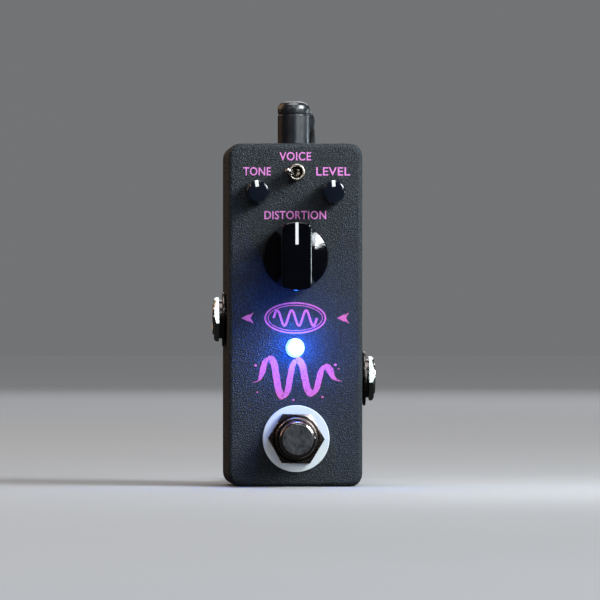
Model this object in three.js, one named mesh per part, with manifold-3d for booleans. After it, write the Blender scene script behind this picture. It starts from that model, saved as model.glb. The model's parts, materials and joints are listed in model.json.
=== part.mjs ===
// A compact guitar effects pedal with its power lead, standing on its lower end. Millimetres.
// +Z runs up the face, from the footswitch to the power socket. -Y points out of the face, and
// +X is to the right of someone who looks at the face. The origin is the middle of the lower end.
import * as THREE from "three";
import { mergeVertices } from "three/addons/utils/BufferGeometryUtils.js";
import Module from "manifold-3d";

const wasm = await Module();
wasm.setup();

// ---- Driving dimensions ----------------------------------------------------------------

// Enclosure, a die-casting with leaning side walls
const LENGTH = 93.5;
const FACE_WIDTH = 36.5;
const BACK_WIDTH = 38.4;
const DEPTH = 31;
const WALL = 2;
const FACE_WALL = 2.2;
const CORNER_RADIUS = 3.4;
const EDGE_RADIUS = 1.3;
const CORNER_STEPS = 5;
const EDGE_STEPS = 4;
const FACE = -DEPTH / 2;
const BACK = DEPTH / 2;
const INNER_FACE = FACE + FACE_WALL;

// Base plate, its screws and its rubber pad
const PLATE = 1.2;
const PLATE_RIM = 1.1;
const SCREW_X = 14.9;
const SCREW_Z = [4.4, LENGTH - 4.4];
const BOSS_RADIUS = 2.9;
const PAD = 1.5;

// Clearances
const GAP = 0.3; // between fixed pieces that meet
const RUNNING = 0.12; // round a shaft, lever or plunger that moves

// Controls: the height of each up the face, and its place across it
const BIG_KNOB = { x: 0, z: 62.5, radius: 8.95, barRadius: 9.25, height: 15.5 };
const SMALL_KNOB = { x: 10.3, z: 80.2, radius: 3.38, topRadius: 2.66, height: 8 };
const TOGGLE = { x: 0.3, z: 85.5, radius: 2.25, height: 3.5, leverLength: 8.6, tilt: 18 };
const LED = { x: 0, z: 37.8, radius: 2.45, dome: 1.9 };
const SWITCH = { x: 0.2, z: 13.1, thread: 5.95, plunger: 4.95, height: 17 };
const KNOB_LIFT = 0.7; // knobs stand this far off the face

// Sockets in the walls, half way between the face and the back
const SOCKET_DEPTH = -0.5;
const JACKS = [
  { name: "output", side: -1, z: 45.6 },
  { name: "input", side: 1, z: 29.4 },
];
const JACK = { thread: 4.5, bore: 3.3, reach: 22.3, body: 6, bodyEnd: 10.8, washer: 7.5 };
const JACK_NUT = { acrossFlats: 11.2, thickness: 2.2, turn: 10 }; // turn in degrees

// Boards
const BOARD = 1.2;
const CONTROL_BOARD = -8.2; // its front side
const MAIN_BOARD = 6.2;
const BOARD_HALF = 15.6;
const BOARD_NARROW = 11.7; // half width beside the screw bosses

// Power lead: a right-angle plug, its cord and the plug at the supply's end
const PLUG_RADIUS = 4.4;
const PLUG_BOTTOM = 0.25; // over the end wall
const PLUG_TOP = 11.9;
const ARM_HEIGHT = 6.7;
const ARM_RADIUS = 4.1;
const ARM_REACH = 9;
const RELIEF_REACH = 16;
const PLUG_TURN = 14.2; // degrees from straight back, towards +X
const BARREL_RADIUS = 2.75;
const CORD_RADIUS = 1.4;
const CORD_SIDES = 8;
const CORD_STEP = 6;
const COIL = { x: 0.8, y: 41, inner: 10, outer: 18.4, height: 5.6 };
const SUPPLY_PLUG = { x: 9.9, y: 65.5, relief: 6, body: 12, barrel: 9.5 };

// The cord's route from the strain relief, down behind the pedal, to the top of the coil
const DROP = [
  [3.92, 15.01, 100.2],
  [4.34, 16.65, 100.02],
  [4.75, 18.3, 99.3],
  [5.1, 19.65, 97.9],
  [5.28, 20.5, 96.1],
  [5.38, 20.9, 94],
  [5.42, 21.1, 88],
  [5.4, 21.3, 76],
  [5.3, 21.5, 62],
  [5.2, 21.8, 48],
  [5.2, 22.1, 34],
  [5.3, 22.4, 22],
  [5.8, 22.9, 13.5],
  [6.9, 23.8, 8.6],
];
// and from the coil's outer turn to the supply's plug
const TAIL = [
  [17.75, 52.2, 2.2],
  [17.6, 55, 1.6],
  [17, 58.2, 1.5],
  [15.6, 61.4, 1.9],
  [13.4, 64, 3],
  [11.8, 65.1, 3.9],
  [10.3, 65.5, 4.45],
];

// ---- Shapes ----------------------------------------------------------------------------

// The geometry with its shared corners merged, no empty faces, and its faces pointing out.
function closed(geometry) {
  const bare = geometry.clone();
  bare.deleteAttribute("normal");
  bare.deleteAttribute("uv");
  const merged = mergeVertices(bare, 1e-4);
  const [a, b, c] = [new THREE.Vector3(), new THREE.Vector3(), new THREE.Vector3()];
  const index = [];
  let volume = 0;
  for (let i = 0; i < merged.index.count; i += 3) {
    const [p, q, r] = merged.index.array.slice(i, i + 3);
    if (p === q || q === r || r === p) continue;
    index.push(p, q, r);
    a.fromBufferAttribute(merged.attributes.position, p);
    b.fromBufferAttribute(merged.attributes.position, q);
    c.fromBufferAttribute(merged.attributes.position, r);
    volume += a.dot(b.cross(c));
  }
  merged.setIndex(volume < 0 ? index.reverse() : index);
  return merged;
}

function solid(geometry) {
  const shape = closed(geometry);
  return new wasm.Manifold(
    new wasm.Mesh({
      numProp: 3,
      vertProperties: new Float32Array(shape.attributes.position.array),
      triVerts: new Uint32Array(shape.index.array),
    }),
  );
}

function geometryOf(body) {
  const mesh = body.getMesh();
  return new THREE.BufferGeometry()
    .setAttribute("position", new THREE.BufferAttribute(mesh.vertProperties, 3))
    .setIndex(new THREE.BufferAttribute(mesh.triVerts, 1));
}

const joined = (...bodies) => geometryOf(bodies.reduce((a, b) => a.add(b)));
const cut = (body, ...tools) => geometryOf(tools.reduce((a, b) => a.subtract(b), body));

// A solid turned about Y. The profile lists [radius, height]; heights run towards -Y, which is
// out of the face.
function turned(profile, sides = 32, phase = 0) {
  const points = profile.map(([radius, height]) => new THREE.Vector2(radius, -height));
  return closed(new THREE.LatheGeometry(points, sides, phase));
}

// A plain round rod about Y, between two heights.
function rod(radius, low, high, sides = 32) {
  return turned([[0, low], [radius, low], [radius, high], [0, high]], sides);
}

// A ring or tube about Y, between two heights.
function tube(inner, outer, low, high, sides = 32) {
  const profile = [[inner, low], [outer, low], [outer, high], [inner, high], [inner, low]];
  return turned(profile, sides);
}

function block(x0, x1, y0, y1, z0, z1) {
  const box = new THREE.BoxGeometry(x1 - x0, y1 - y0, z1 - z0);
  return box.translate((x0 + x1) / 2, (y0 + y1) / 2, (z0 + z1) / 2);
}

// A hexagonal nut about Y with chamfered corners on its outer side. Two corners point along X.
function hexNut(acrossFlats, bore, low, high) {
  const corner = acrossFlats / Math.sqrt(3);
  const prism = new THREE.CylinderGeometry(corner, corner, high - low, 6, 1, false, Math.PI / 2);
  prism.translate(0, -(low + high) / 2, 0);
  const drop = (corner - acrossFlats / 2) * 0.8;
  const chamfer = turned(
    [[0, low], [corner, low], [corner, high - drop], [acrossFlats / 2, high], [0, high]],
    24,
  );
  return cut(solid(prism).intersect(solid(chamfer)), solid(rod(bore, low - 1, high + 1, 24)));
}

// A rounded rectangle across X and up Z, at depth y, as a ring of points.
function outline(halfWidth, bottom, top, radius, y) {
  const corners = [
    [halfWidth - radius, top - radius],
    [radius - halfWidth, top - radius],
    [radius - halfWidth, bottom + radius],
    [halfWidth - radius, bottom + radius],
  ];
  const points = [];
  corners.forEach(([x, z], quarter) => {
    for (let i = 0; i <= CORNER_STEPS; i++) {
      const angle = ((quarter + i / CORNER_STEPS) * Math.PI) / 2;
      const across = x + radius * Math.cos(angle);
      points.push(new THREE.Vector3(across, y, z + radius * Math.sin(angle)));
    }
  });
  return points;
}

// A closed body through a stack of rings that have the same number of points.
function lofted(rings) {
  const places = [];
  const triangle = (...points) => points.forEach((p) => places.push(p.x, p.y, p.z));
  const count = rings[0].length;
  for (let k = 1; k < rings.length; k++) {
    for (let i = 0; i < count; i++) {
      const next = (i + 1) % count;
      triangle(rings[k - 1][i], rings[k - 1][next], rings[k][next]);
      triangle(rings[k - 1][i], rings[k][next], rings[k][i]);
    }
  }
  const first = rings[0];
  const last = rings[rings.length - 1];
  for (let i = 1; i < count - 1; i++) {
    triangle(first[0], first[i + 1], first[i]);
    triangle(last[0], last[i], last[i + 1]);
  }
  const geometry = new THREE.BufferGeometry();
  geometry.setAttribute("position", new THREE.Float32BufferAttribute(places, 3));
  return closed(geometry);
}

// A plate between two depths with rounded corners.
function plate(halfWidth, bottom, top, radius, y0, y1) {
  return lofted([y0, y1].map((y) => outline(halfWidth, bottom, top, radius, y)));
}

// A flat board between two depths: narrow at its upper end, so that it clears the bosses.
function board(bottom, shoulder, top, y0) {
  const shape = new THREE.Shape();
  shape.moveTo(-BOARD_HALF, bottom);
  shape.lineTo(BOARD_HALF, bottom);
  shape.lineTo(BOARD_HALF, shoulder);
  shape.lineTo(BOARD_NARROW, shoulder);
  shape.lineTo(BOARD_NARROW, top);
  shape.lineTo(-BOARD_NARROW, top);
  shape.lineTo(-BOARD_NARROW, shoulder);
  shape.lineTo(-BOARD_HALF, shoulder);
  const slab = new THREE.ExtrudeGeometry(shape, { depth: BOARD, bevelEnabled: false });
  return closed(slab.rotateX(Math.PI / 2).translate(0, y0 + BOARD, 0));
}

// A round cord through a list of points.
function cord(points) {
  const path = new THREE.CatmullRomCurve3(points.map((p) => new THREE.Vector3(...p)));
  const section = new THREE.Shape();
  for (let i = 0; i < CORD_SIDES; i++) {
    const angle = (i / CORD_SIDES) * 2 * Math.PI;
    const place = [CORD_RADIUS * Math.cos(angle), CORD_RADIUS * Math.sin(angle)];
    if (i === 0) section.moveTo(...place);
    else section.lineTo(...place);
  }
  const steps = Math.ceil(path.getLength() / CORD_STEP);
  return closed(new THREE.ExtrudeGeometry(section, { steps, extrudePath: path }));
}

// ---- Scene graph -----------------------------------------------------------------------

const FINISHES = {
  powderCoat: [0x3a3c40, 0.75, 0.2],
  steel: [0x8a8c90, 0.4, 0.9],
  rubber: [0x141414, 0.9, 0],
  blackPlastic: [0x0b0b0d, 0.25, 0],
  innerPlastic: [0x1a1a1c, 0.6, 0],
  nickel: [0xb9b4ac, 0.25, 1],
  gunmetal: [0x6f6a66, 0.22, 1],
  nylon: [0xf2f2ee, 0.5, 0],
  lens: [0x9cc8ff, 0.1, 0],
  brass: [0xc8a45a, 0.3, 1],
  circuitBoard: [0x0e4a2c, 0.5, 0],
  chip: [0x101012, 0.5, 0],
  capacitor: [0x20242c, 0.4, 0.1],
  ribbon: [0xc9c9cc, 0.6, 0],
  cordJacket: [0x101012, 0.55, 0],
};

const pedal = new THREE.Group();

function piece(name, finish, geometry, parent = pedal) {
  const [color, roughness, metalness] = FINISHES[finish];
  const material = new THREE.MeshStandardMaterial({
    color,
    roughness,
    metalness,
    flatShading: true,
  });
  const mesh = new THREE.Mesh(closed(geometry), material);
  mesh.name = name;
  parent.add(mesh);
  return mesh;
}

function group(x, y, z, parent = pedal) {
  const made = new THREE.Group();
  made.position.set(x, y, z);
  parent.add(made);
  return made;
}

// ---- Enclosure -------------------------------------------------------------------------

function halfWidthAt(y) {
  return (FACE_WIDTH + ((BACK_WIDTH - FACE_WIDTH) * (y - FACE)) / DEPTH) / 2;
}

// The outline of the box at depth y, pulled in all round.
function boxRing(y, inset, radius = CORNER_RADIUS - inset * 0.5) {
  return outline(halfWidthAt(y) - inset, inset, LENGTH - inset, radius, y);
}

function outside() {
  const rings = [];
  for (let i = 0; i <= EDGE_STEPS; i++) {
    const angle = (i / EDGE_STEPS) * (Math.PI / 2);
    const y = FACE + EDGE_RADIUS * (1 - Math.cos(angle));
    rings.push(boxRing(y, EDGE_RADIUS * (1 - Math.sin(angle))));
  }
  const rim = 0.4;
  rings.push(boxRing(BACK - rim, 0), boxRing(BACK, rim));
  return solid(lofted(rings));
}

// A hole through a wall, about a line along "x", "y" or "z".
function hole(radius, axis, x, y, z, length = 12) {
  const drill = new THREE.CylinderGeometry(radius, radius, length, 24);
  if (axis === "x") drill.rotateZ(Math.PI / 2);
  if (axis === "z") drill.rotateX(Math.PI / 2);
  return solid(drill.translate(x, y, z));
}

const plateSeat = BACK - PLATE - GAP;
const cavityRadius = 1.8;

function enclosure() {
  const past = BACK + 1;
  const cavity = solid(
    lofted([boxRing(INNER_FACE, WALL, cavityRadius), boxRing(past, WALL, cavityRadius)]),
  );
  const recess = solid(
    lofted([boxRing(plateSeat, PLATE_RIM, 2.4), boxRing(past, PLATE_RIM, 2.4)]),
  );
  let box = outside().subtract(cavity);
  for (const side of [-1, 1]) {
    for (const z of SCREW_Z) {
      const boss = new THREE.CylinderGeometry(BOSS_RADIUS, BOSS_RADIUS, plateSeat - FACE - 1, 16);
      boss.translate(side * SCREW_X, (plateSeat + FACE + 1) / 2, z);
      box = box.add(solid(boss).intersect(outside()));
    }
  }
  box = box.subtract(recess);
  const faceHoles = [
    [3.7, BIG_KNOB.x, BIG_KNOB.z],
    [3.1, -SMALL_KNOB.x, SMALL_KNOB.z],
    [3.1, SMALL_KNOB.x, SMALL_KNOB.z],
    [TOGGLE.radius + 0.15, TOGGLE.x, TOGGLE.z],
    [LED.radius + 0.15, LED.x, LED.z],
    [SWITCH.thread + 0.2, SWITCH.x, SWITCH.z],
  ];
  const tools = faceHoles.map(([radius, x, z]) => hole(radius, "y", x, FACE, z, 8));
  for (const { side, z } of JACKS) {
    tools.push(hole(JACK.thread + 0.2, "x", side * 18.5, SOCKET_DEPTH, z));
  }
  tools.push(hole(4.9, "z", 0, SOCKET_DEPTH, LENGTH));
  for (const side of [-1, 1]) {
    for (const z of SCREW_Z) tools.push(hole(1.6, "y", side * SCREW_X, plateSeat - 5, z, 10.5));
  }
  return cut(box, ...tools);
}

piece("enclosure", "powderCoat", enclosure());

// A countersunk screw with a cross recess. Its head is at height 0 and its tip below.
function countersunkScrew() {
  const body = turned(
    [[0, 0], [2.4, 0], [2.4, -0.25], [1.4, -1.2], [1.4, -8], [0.7, -9], [0, -9]],
    16,
  );
  const slots = [
    block(-1.3, 1.3, -0.1, 0.8, -0.25, 0.25),
    block(-0.25, 0.25, -0.1, 0.8, -1.3, 1.3),
  ];
  return cut(solid(body), ...slots.map(solid));
}

function basePlate() {
  const inset = PLATE_RIM + GAP;
  const half = halfWidthAt(plateSeat) - inset;
  const sheet = plate(half, inset, LENGTH - inset, 2.1, BACK - PLATE, BACK);
  const sinks = [];
  for (const side of [-1, 1]) {
    for (const z of SCREW_Z) {
      const sink = turned([[0, 1], [2.7, 1], [2.7, -0.35], [1.65, -1.3], [1.65, -3], [0, -3]], 16);
      sinks.push(solid(sink.rotateZ(Math.PI).translate(side * SCREW_X, BACK, z)));
    }
  }
  return cut(solid(sheet), ...sinks);
}

piece("base_plate", "steel", basePlate());
let screwNumber = 0;
for (const z of SCREW_Z) {
  for (const side of [-1, 1]) {
    screwNumber += 1;
    const screw = piece(`base_screw_${screwNumber}`, "steel", countersunkScrew());
    screw.position.set(side * SCREW_X, BACK, z);
    screw.rotation.z = Math.PI;
  }
}
const PAD_FROM_END = 9.5;
piece(
  "rubber_pad",
  "rubber",
  plate(15, PAD_FROM_END, LENGTH - PAD_FROM_END, 3, BACK + 0.1, BACK + 0.1 + PAD),
);

// ---- Big knob and its potentiometer ----------------------------------------------------

// A skirted knob with a tapered grip bar across it, whose ends follow the knob's circle.
function bigKnob() {
  const { radius, barRadius, height } = BIG_KNOB;
  const skirt = turned(
    [
      [0, 6.4], [5.2, 6.3], [7.7, 5.3], [8.6, 4.6], [radius, 3.6],
      [radius, KNOB_LIFT], [0, KNOB_LIFT],
    ],
    48,
  );
  const side = new THREE.Shape();
  side.moveTo(-5.5, -4.5);
  side.lineTo(-5.3, -6.4);
  side.lineTo(-3.75, -height + 0.7);
  side.quadraticCurveTo(-3.6, -height, -2.9, -height);
  side.lineTo(2.9, -height);
  side.quadraticCurveTo(3.6, -height, 3.75, -height + 0.7);
  side.lineTo(5.3, -6.4);
  side.lineTo(5.5, -4.5);
  const bar = new THREE.ExtrudeGeometry(side, { depth: 20, bevelEnabled: false, curveSegments: 3 });
  const bound = turned(
    [
      [0, height], [barRadius - 0.7, height], [barRadius - 0.2, height - 0.25],
      [barRadius, height - 0.7], [barRadius, 6], [radius, 4], [0, 4],
    ],
    48,
  );
  const grip = solid(bar.translate(0, 0, -10)).intersect(solid(bound));
  const hollow = turned([[0, 0], [7.3, 0], [7.3, 4.3], [3.1, 4.3], [3.1, 11.7], [0, 11.7]], 28);
  return cut(solid(skirt).add(grip), solid(hollow));
}

const bigControl = group(BIG_KNOB.x, FACE, BIG_KNOB.z);
piece("distortion_knob", "blackPlastic", bigKnob(), bigControl);
piece("distortion_pot_shaft", "nickel", rod(3, -5.2, 11.4, 24), bigControl);
piece("distortion_pot_nut", "nickel", hexNut(9.4, 3.6, 0.75, 2.75), bigControl);
piece("distortion_pot_washer", "nickel", tube(3.6, 5.4, 0.1, 0.6, 28), bigControl);

// A potentiometer's housing behind the face, with a sleeve round its shaft.
function potBody(halfWidth, halfHeight, sleeve, sleeveTop, bore) {
  const housingTop = -FACE_WALL - GAP;
  const housingBottom = CONTROL_BOARD - FACE - GAP;
  const housing = block(
    -halfWidth, halfWidth, -housingTop, housingBottom, -halfHeight, halfHeight,
  );
  const body = solid(housing).add(solid(rod(sleeve, housingTop - 1, sleeveTop, 28)));
  return cut(body, solid(rod(bore, -5.6, sleeveTop + 1, 24)));
}

piece("distortion_pot_body", "innerPlastic", potBody(5.6, 6, 3.5, 3.5, 3 + RUNNING), bigControl);

// ---- Tone and level knobs with their potentiometers --------------------------------------

function smallKnob() {
  const { radius, topRadius, height } = SMALL_KNOB;
  return turned(
    [
      [0, height], [topRadius - 0.3, height], [topRadius, height - 0.3], [radius, 1],
      [radius, KNOB_LIFT], [2.32, KNOB_LIFT], [2.32, 6.5], [0, 6.5],
    ],
    24,
  );
}

for (const [name, side] of [["tone", -1], ["level", 1]]) {
  const control = group(side * SMALL_KNOB.x, FACE, SMALL_KNOB.z);
  piece(`${name}_knob`, "blackPlastic", smallKnob(), control);
  piece(`${name}_pot_shaft`, "innerPlastic", rod(2.2, -5.2, 6.3, 20), control);
  const body = potBody(4.7, 4.4, 2.9, -0.4, 2.2 + RUNNING);
  piece(`${name}_pot_body`, "innerPlastic", body, control);
}

// ---- Toggle switch -----------------------------------------------------------------------

const toggle = group(TOGGLE.x, FACE, TOGGLE.z);
const TOGGLE_PIVOT = 1.1; // over the face
piece(
  "toggle_bushing",
  "nickel",
  turned(
    [
      [1.55, -3.2], [3, -3.2], [3, -FACE_WALL - GAP], [TOGGLE.radius, -FACE_WALL - GAP],
      [TOGGLE.radius, TOGGLE.height - 0.3], [TOGGLE.radius - 0.25, TOGGLE.height],
      [1.85, TOGGLE.height], [1.55, TOGGLE_PIVOT], [1.55, -3.2],
    ],
    20,
  ),
  toggle,
);
piece("toggle_body", "innerPlastic", block(-3.3, 3.3, 3.5, 7, -2.9, 2.9), toggle);

// A bat-shaped lever with a ball at its pivot, which is at height 0.
function toggleLever() {
  const end = TOGGLE.leverLength;
  return turned(
    [
      [0, -2], [0.5, -2], [0.6, -1.2], [1.2, -0.7], [1.38, 0], [1.2, 0.7], [0.72, 1.2],
      [0.78, 4], [0.98, end - 1], [0.8, end - 0.3], [0.45, end], [0, end],
    ],
    14,
  );
}

const lever = piece("toggle_lever", "nickel", toggleLever(), toggle);
lever.position.y = -TOGGLE_PIVOT;
lever.rotation.z = THREE.MathUtils.degToRad(-TOGGLE.tilt);

// ---- Indicator lamp ----------------------------------------------------------------------

const lamp = group(LED.x, FACE, LED.z);
const lampFlange = CONTROL_BOARD - FACE - 0.1;
piece(
  "led_lens",
  "lens",
  turned(
    [
      [0, LED.dome], [0.9, LED.dome - 0.18], [1.7, LED.dome - 0.65], [2.25, LED.dome - 1.4],
      [LED.radius, LED.dome - 2.3], [LED.radius, 1 - lampFlange], [2.85, 1 - lampFlange],
      [2.85, -lampFlange], [0, -lampFlange],
    ],
    24,
  ),
  lamp,
);

// ---- Footswitch --------------------------------------------------------------------------

const footswitch = group(SWITCH.x, FACE, SWITCH.z);
const BUSHING_TOP = 4.7;
const BUSHING_BOTTOM = -4.6;
const SWITCH_BODY_TOP = BUSHING_BOTTOM - GAP;
const SWITCH_BODY_BOTTOM = -17;
const SWITCH_WELL = -13.6; // the bottom of the well that holds the spring
const PLUNGER_BOTTOM = -2.5;
piece("footswitch_washer", "nylon", tube(SWITCH.thread + 0.2, 9.1, 0.1, 0.8, 40), footswitch);
piece("footswitch_nut", "gunmetal", hexNut(13.35, SWITCH.thread + 0.12, 0.9, 3.6), footswitch);
const threadBore = SWITCH.plunger + RUNNING;
piece(
  "footswitch_bushing",
  "gunmetal",
  turned(
    [
      [threadBore, BUSHING_BOTTOM], [SWITCH.thread, BUSHING_BOTTOM],
      [SWITCH.thread, BUSHING_TOP - 0.5], [SWITCH.thread - 0.5, BUSHING_TOP],
      [threadBore, BUSHING_TOP], [threadBore, BUSHING_BOTTOM],
    ],
    32,
  ),
  footswitch,
);
const lockNut = hexNut(13.35, SWITCH.thread + 0.12, BUSHING_BOTTOM + 0.1, -FACE_WALL - 0.2);
piece("footswitch_inner_nut", "nickel", lockNut, footswitch);
piece(
  "footswitch_plunger",
  "gunmetal",
  turned(
    [
      [0, SWITCH.height], [3.9, SWITCH.height], [4.5, SWITCH.height - 0.4],
      [SWITCH.plunger, SWITCH.height - 1.3], [SWITCH.plunger, PLUNGER_BOTTOM],
      [1.8, PLUNGER_BOTTOM], [1.8, -9.4], [0, -9.4],
    ],
    32,
  ),
  footswitch,
);
piece(
  "footswitch_body",
  "innerPlastic",
  cut(
    solid(block(-8.3, 8.3, -SWITCH_BODY_TOP, -SWITCH_BODY_BOTTOM, -8.3, 8.3)),
    solid(rod(5.3, SWITCH_WELL, 0, 32)),
  ),
  footswitch,
);

// The return spring stands in the well and presses on the plunger's skirt.
function returnSpring() {
  const radius = 4.1;
  const wire = 0.4;
  const turns = 5;
  const low = SWITCH_WELL + wire + 0.1;
  const high = PLUNGER_BOTTOM - wire - 0.1;
  const points = [];
  for (let i = 0; i <= turns * 12; i++) {
    const share = i / (turns * 12);
    const angle = share * turns * 2 * Math.PI;
    const height = low + (high - low) * share;
    const [x, z] = [radius * Math.cos(angle), radius * Math.sin(angle)];
    points.push(new THREE.Vector3(x, -height, z));
  }
  const path = new THREE.CatmullRomCurve3(points);
  const section = new THREE.Shape();
  section.moveTo(wire, 0);
  section.lineTo(0, wire);
  section.lineTo(-wire, 0);
  section.lineTo(0, -wire);
  return new THREE.ExtrudeGeometry(section, { steps: turns * 14, extrudePath: path });
}

piece("footswitch_spring", "steel", returnSpring(), footswitch);
const FOOT_BOARD = 20.2;
for (let i = 0; i < 3; i++) {
  const x = (i - 1) * 4.7;
  const lug = block(x - 1, x + 1, -SWITCH_BODY_BOTTOM + 0.1, FOOT_BOARD - 0.1, -0.4, 0.4);
  piece(`footswitch_lug_${i + 1}`, "nickel", lug, footswitch);
}
const footBoard = block(-7.5, 7.5, FOOT_BOARD, FOOT_BOARD + BOARD, -7.5, 7.5);
piece("footswitch_board", "circuitBoard", footBoard, footswitch);

// ---- Jack sockets ------------------------------------------------------------------------

// Each jack is built about Y with its mouth towards -Y, then turned to face out of its wall.
const WALL_OUTSIDE = halfWidthAt(SOCKET_DEPTH) + 0.3;
const WALL_INSIDE = halfWidthAt(SOCKET_DEPTH) - WALL - 0.35;
for (const { name, side, z } of JACKS) {
  const jack = group(0, SOCKET_DEPTH, z);
  jack.rotation.z = (side * Math.PI) / 2;
  const washerTop = WALL_OUTSIDE + 0.65;
  piece(
    `${name}_jack_bush`,
    "nickel",
    turned(
      [
        [JACK.bore, WALL_INSIDE], [JACK.thread, WALL_INSIDE], [JACK.thread, JACK.reach - 0.3],
        [JACK.thread - 0.3, JACK.reach], [JACK.bore + 0.3, JACK.reach],
        [JACK.bore, JACK.reach - 0.3], [JACK.bore, WALL_INSIDE],
      ],
      24,
    ),
    jack,
  );
  const ring = tube(JACK.thread + 0.1, JACK.washer, WALL_OUTSIDE, washerTop, 32);
  piece(`${name}_jack_washer`, "nickel", ring, jack);
  const nutBottom = washerTop + 0.05;
  const nutTop = nutBottom + JACK_NUT.thickness;
  const nut = hexNut(JACK_NUT.acrossFlats, JACK.thread + 0.1, nutBottom, nutTop);
  nut.rotateY(THREE.MathUtils.degToRad(-side * JACK_NUT.turn));
  piece(`${name}_jack_nut`, "nickel", nut, jack);
  const half = JACK.body;
  const housing = block(-half, half, -WALL_INSIDE + 0.2, JACK.bodyEnd, -half, half);
  const mouth = rod(JACK.bore, 0, 20, 24);
  const chamber = block(-4.6, 4.6, -WALL_INSIDE + 2, JACK.bodyEnd - 1.2, -3.3, 3.3);
  piece(`${name}_jack_body`, "innerPlastic", cut(solid(housing), solid(mouth), solid(chamber)), jack);
  // A bent leaf that a plug's tip pushes aside
  const leaf = new THREE.Shape();
  leaf.moveTo(-4.4, -12);
  leaf.lineTo(-4.05, -12);
  leaf.lineTo(-3.6, 0);
  leaf.lineTo(-2.6, 3.6);
  leaf.lineTo(-3.4, 6.6);
  leaf.lineTo(-3.75, 6.6);
  leaf.lineTo(-2.95, 3.6);
  leaf.lineTo(-3.95, 0);
  const strip = new THREE.ExtrudeGeometry(leaf, { depth: 3, bevelEnabled: false });
  piece(`${name}_jack_tip_spring`, "brass", strip.translate(0, 0, -1.5), jack);
}

// ---- Power socket and lead ---------------------------------------------------------------

const power = group(0, SOCKET_DEPTH, LENGTH);
power.rotation.x = -Math.PI / 2;
const SOCKET_BOTTOM = -15.5;
const socketBox = block(-4.5, 4.5, WALL + GAP, -SOCKET_BOTTOM, -4.4, 6.4);
const socketBody = solid(socketBox).add(solid(rod(4.6, -WALL - 1, -0.2, 28)));
const socketBore = solid(rod(BARREL_RADIUS + 0.25, -12, 1, 24));
piece("dc_socket_body", "innerPlastic", cut(socketBody, socketBore), power);
const socketPin = turned([[0, -11.9], [1, -11.9], [1, -2.4], [0.6, -1.9], [0, -1.9]], 16);
piece("dc_socket_pin", "nickel", socketPin, power);

// A plug's hollow barrel, between two heights.
function plugBarrel(low, high) {
  return turned(
    [
      [1.15, low], [BARREL_RADIUS, low], [BARREL_RADIUS, high],
      [1.15, high], [1.15, low],
    ],
    20,
  );
}

const plug = group(0, 0, 0, power);
plug.rotation.y = THREE.MathUtils.degToRad(PLUG_TURN);
piece("dc_plug_barrel", "nickel", plugBarrel(-9.3, PLUG_BOTTOM - 0.1), plug);
const plugBodyShape = turned(
  [
    [0, PLUG_TOP], [PLUG_RADIUS - 2, PLUG_TOP], [PLUG_RADIUS - 0.9, PLUG_TOP - 0.4],
    [PLUG_RADIUS - 0.25, PLUG_TOP - 1.1], [PLUG_RADIUS, PLUG_TOP - 2], [PLUG_RADIUS, 8.7],
    [PLUG_RADIUS - 0.25, 8.5],
    [PLUG_RADIUS - 0.25, 8.2], [PLUG_RADIUS, 8], [PLUG_RADIUS, PLUG_BOTTOM], [0, PLUG_BOTTOM],
  ],
  32,
);
const arm = rod(ARM_RADIUS, 0, ARM_REACH, 24);
arm.rotateX(-Math.PI / 2).translate(0, -ARM_HEIGHT, 0);
piece("dc_plug_housing", "blackPlastic", joined(solid(plugBodyShape), solid(arm)), plug);

// A tapered strain relief with one groove, between two heights.
function strainRelief(low, high, wide, narrow) {
  const middle = (low + high) / 2;
  const waist = (wide + narrow) / 2;
  return turned(
    [
      [0, low], [wide, low], [waist, middle - 0.6], [waist - 0.5, middle - 0.3],
      [waist - 0.5, middle + 0.3], [waist, middle + 0.6], [narrow, high], [0, high],
    ],
    16,
  );
}

const relief = piece(
  "dc_plug_strain_relief",
  "cordJacket",
  strainRelief(ARM_REACH + 0.1, RELIEF_REACH - 0.1, 3, 1.9),
  plug,
);
relief.position.y = -ARM_HEIGHT;
relief.rotation.x = -Math.PI / 2;

piece("dc_cord_drop", "cordJacket", cord(DROP));
const coilProfile = [
  [COIL.inner, 1], [COIL.inner + 1, 0], [COIL.outer - 1, 0], [COIL.outer, 1],
  [COIL.outer, COIL.height - 1], [COIL.outer - 1, COIL.height],
  [COIL.inner + 1, COIL.height], [COIL.inner, COIL.height - 1], [COIL.inner, 1],
];
const coil = piece("dc_cord_coil", "cordJacket", turned(coilProfile, 32));
coil.position.set(COIL.x, COIL.y, 0);
coil.rotation.x = -Math.PI / 2;
piece("dc_cord_tail", "cordJacket", cord(TAIL));

// The supply's plug lies on its side behind the coil, with its barrel towards -X.
const supplyEnd = group(SUPPLY_PLUG.x, SUPPLY_PLUG.y, PLUG_RADIUS + 0.05);
supplyEnd.rotation.z = -Math.PI / 2;
const reliefEnd = SUPPLY_PLUG.relief;
const bodyEnd = reliefEnd + SUPPLY_PLUG.body;
const tailRelief = strainRelief(-reliefEnd + 0.1, -0.1, 2.9, 1.9);
piece("supply_plug_strain_relief", "cordJacket", tailRelief.rotateZ(Math.PI), supplyEnd);
piece(
  "supply_plug_body",
  "blackPlastic",
  turned(
    [
      [0, reliefEnd], [PLUG_RADIUS - 0.8, reliefEnd], [PLUG_RADIUS, reliefEnd + 0.8],
      [PLUG_RADIUS, bodyEnd - 0.5], [PLUG_RADIUS - 0.5, bodyEnd], [0, bodyEnd],
    ],
    24,
  ),
  supplyEnd,
);
const supplyBarrel = plugBarrel(bodyEnd + 0.1, bodyEnd + SUPPLY_PLUG.barrel);
piece("supply_plug_barrel", "nickel", supplyBarrel, supplyEnd);

// ---- Circuit boards ------------------------------------------------------------------------

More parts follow.
